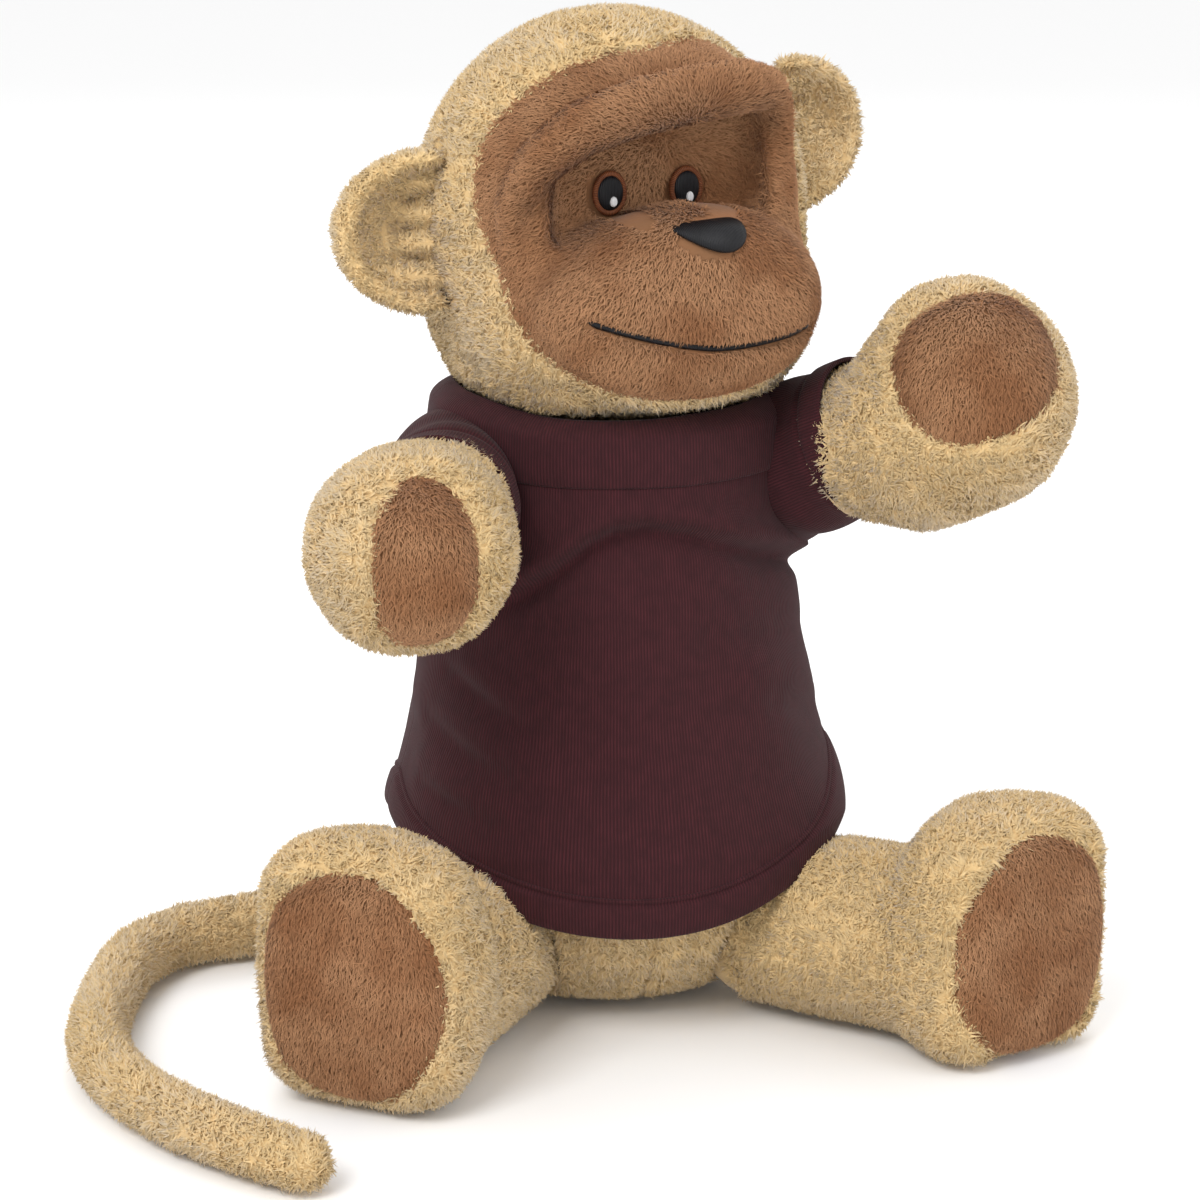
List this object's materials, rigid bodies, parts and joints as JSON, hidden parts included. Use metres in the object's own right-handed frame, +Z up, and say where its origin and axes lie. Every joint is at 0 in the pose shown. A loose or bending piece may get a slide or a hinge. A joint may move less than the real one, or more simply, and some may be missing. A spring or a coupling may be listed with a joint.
{
  "type": "stuffed monkey",
  "caption": "Seated plush monkey in a plain short-sleeved jersey T-shirt, with pile-cloth body, short-pile face, pads and soles, and a jointed long tail.",
  "frame": {"origin": "middle of the flat seat, on the surface the toy sits on", "axes": "+Z up, the toy looks along -Y, +X towards the toy's left side"},
  "size_m": [0.2556, 0.2076, 0.255],
  "materials": {
    "terry_tan": "curly looped pile",
    "plush_brown": "short brushed pile",
    "jersey_maroon": "fine ribbed knit",
    "thread_black": "satin stitch",
    "thread_rust": "satin stitch",
    "thread_white": "satin stitch",
    "fibre_fill": "polyester fibre",
    "pellet_bag_cloth": "plain woven bag of pellets"
  },
  "bodies": {
    "torso": {"torso_skin": "terry_tan", "torso_stuffing": "fibre_fill", "pellet_bag": "pellet_bag_cloth", "shirt_front": "jersey_maroon", "shirt_back": "jersey_maroon", "hem_band": "jersey_maroon", "collar_band": "jersey_maroon"},
    "neck": {"neck_wad": "fibre_fill"},
    "head": {"head_skin": "terry_tan", "head_stuffing": "fibre_fill", "brow_roll": "plush_brown", "face_panel": "plush_brown", "muzzle_skin": "plush_brown", "muzzle_stuffing": "fibre_fill", "nose_patch": "thread_black", "mouth_stitch": "thread_black", "eye_pupil_left": "thread_black", "eye_rim_left": "thread_rust", "eye_glint_left": "thread_white", "eye_pupil_right": "thread_black", "eye_rim_right": "thread_rust", "eye_glint_right": "thread_white"},
    "ear_left": {"ear_left_front": "terry_tan", "ear_left_back": "terry_tan"},
    "arm_left": {"arm_left_skin": "terry_tan", "arm_left_stuffing": "fibre_fill", "paw_pad_left": "plush_brown", "sleeve_left": "jersey_maroon", "cuff_left": "jersey_maroon"},
    "leg_left": {"leg_left_skin": "terry_tan", "leg_left_stuffing": "fibre_fill", "sole_pad_left": "plush_brown"},
    "ear_right": {"ear_right_front": "terry_tan", "ear_right_back": "terry_tan"},
    "arm_right": {"arm_right_skin": "terry_tan", "arm_right_stuffing": "fibre_fill", "paw_pad_right": "plush_brown", "sleeve_right": "jersey_maroon", "cuff_right": "jersey_maroon"},
    "leg_right": {"leg_right_skin": "terry_tan", "leg_right_stuffing": "fibre_fill", "sole_pad_right": "plush_brown"},
    "tail_1": {"tail_1_skin": "terry_tan", "tail_1_stuffing": "fibre_fill"},
    "tail_2": {"tail_2_skin": "terry_tan", "tail_2_stuffing": "fibre_fill"},
    "tail_3": {"tail_3_skin": "terry_tan", "tail_3_stuffing": "fibre_fill"},
    "tail_4": {"tail_4_skin": "terry_tan", "tail_4_stuffing": "fibre_fill"}
  },
  "joints": [
    {"name": "neck_nod", "type": "hinge", "parent": "torso", "child": "neck", "pos_m": [0, 0, 0.161], "axis": [1, 0, 0], "range_deg": [-10, 4], "stiffness_Nm_per_rad": 0.4},
    {"name": "head_turn", "type": "hinge", "parent": "neck", "child": "head", "pos_m": [0, 0, 0.161], "axis": [0, 0, 1], "range_deg": [-40, 6], "stiffness_Nm_per_rad": 0.15},
    {"name": "ear_fold_left", "type": "hinge", "parent": "head", "child": "ear_left", "pos_m": [0.04332, 0.01762, 0.218], "axis": [0, 0, 1], "range_deg": [-20, 20], "stiffness_Nm_per_rad": 0.02},
    {"name": "ear_fold_right", "type": "hinge", "parent": "head", "child": "ear_right", "pos_m": [-0.04608, -0.00801, 0.206], "axis": [0, 0, 1], "range_deg": [-20, 20], "stiffness_Nm_per_rad": 0.02},
    {"name": "shoulder_left", "type": "hinge", "parent": "torso", "child": "arm_left", "pos_m": [0.04, -0.01, 0.138], "axis": [-0.7431, -0.6691, 0], "range_deg": [-40, 4], "stiffness_Nm_per_rad": 0.35},
    {"name": "shoulder_right", "type": "hinge", "parent": "torso", "child": "arm_right", "pos_m": [-0.04, -0.01, 0.138], "axis": [-0.9472, 0.3206, 0], "range_deg": [-22, 25], "stiffness_Nm_per_rad": 0.35},
    {"name": "hip_left", "type": "hinge", "parent": "torso", "child": "leg_left", "pos_m": [0.038, -0.026, 0.023], "axis": [-0.766, -0.6428, 0], "range_deg": [0, 18], "stiffness_Nm_per_rad": 0.1},
    {"name": "hip_right", "type": "hinge", "parent": "torso", "child": "leg_right", "pos_m": [-0.038, -0.026, 0.023], "axis": [-0.8434, 0.5373, 0], "range_deg": [0, 18], "stiffness_Nm_per_rad": 0.1},
    {"name": "tail_root", "type": "hinge", "parent": "torso", "child": "tail_1", "pos_m": [-0.006, 0.05, 0.011], "axis": [0, 0, 1], "range_deg": [-40, 0], "stiffness_Nm_per_rad": 0.05},
    {"name": "tail_bend_1", "type": "hinge", "parent": "tail_1", "child": "tail_2", "pos_m": [-0.064, 0.042, 0.011], "axis": [0, 0, 1], "range_deg": [-22, 3], "stiffness_Nm_per_rad": 0.05},
    {"name": "tail_bend_2", "type": "hinge", "parent": "tail_2", "child": "tail_3", "pos_m": [-0.13, -0.004, 0.0105], "axis": [0, 0, 1], "range_deg": [-30, 6], "stiffness_Nm_per_rad": 0.05},
    {"name": "tail_bend_3", "type": "hinge", "parent": "tail_3", "child": "tail_4", "pos_m": [-0.131, -0.074, 0.0095], "axis": [0, 0, 1], "range_deg": [-30, 10], "stiffness_Nm_per_rad": 0.05}
  ]
}
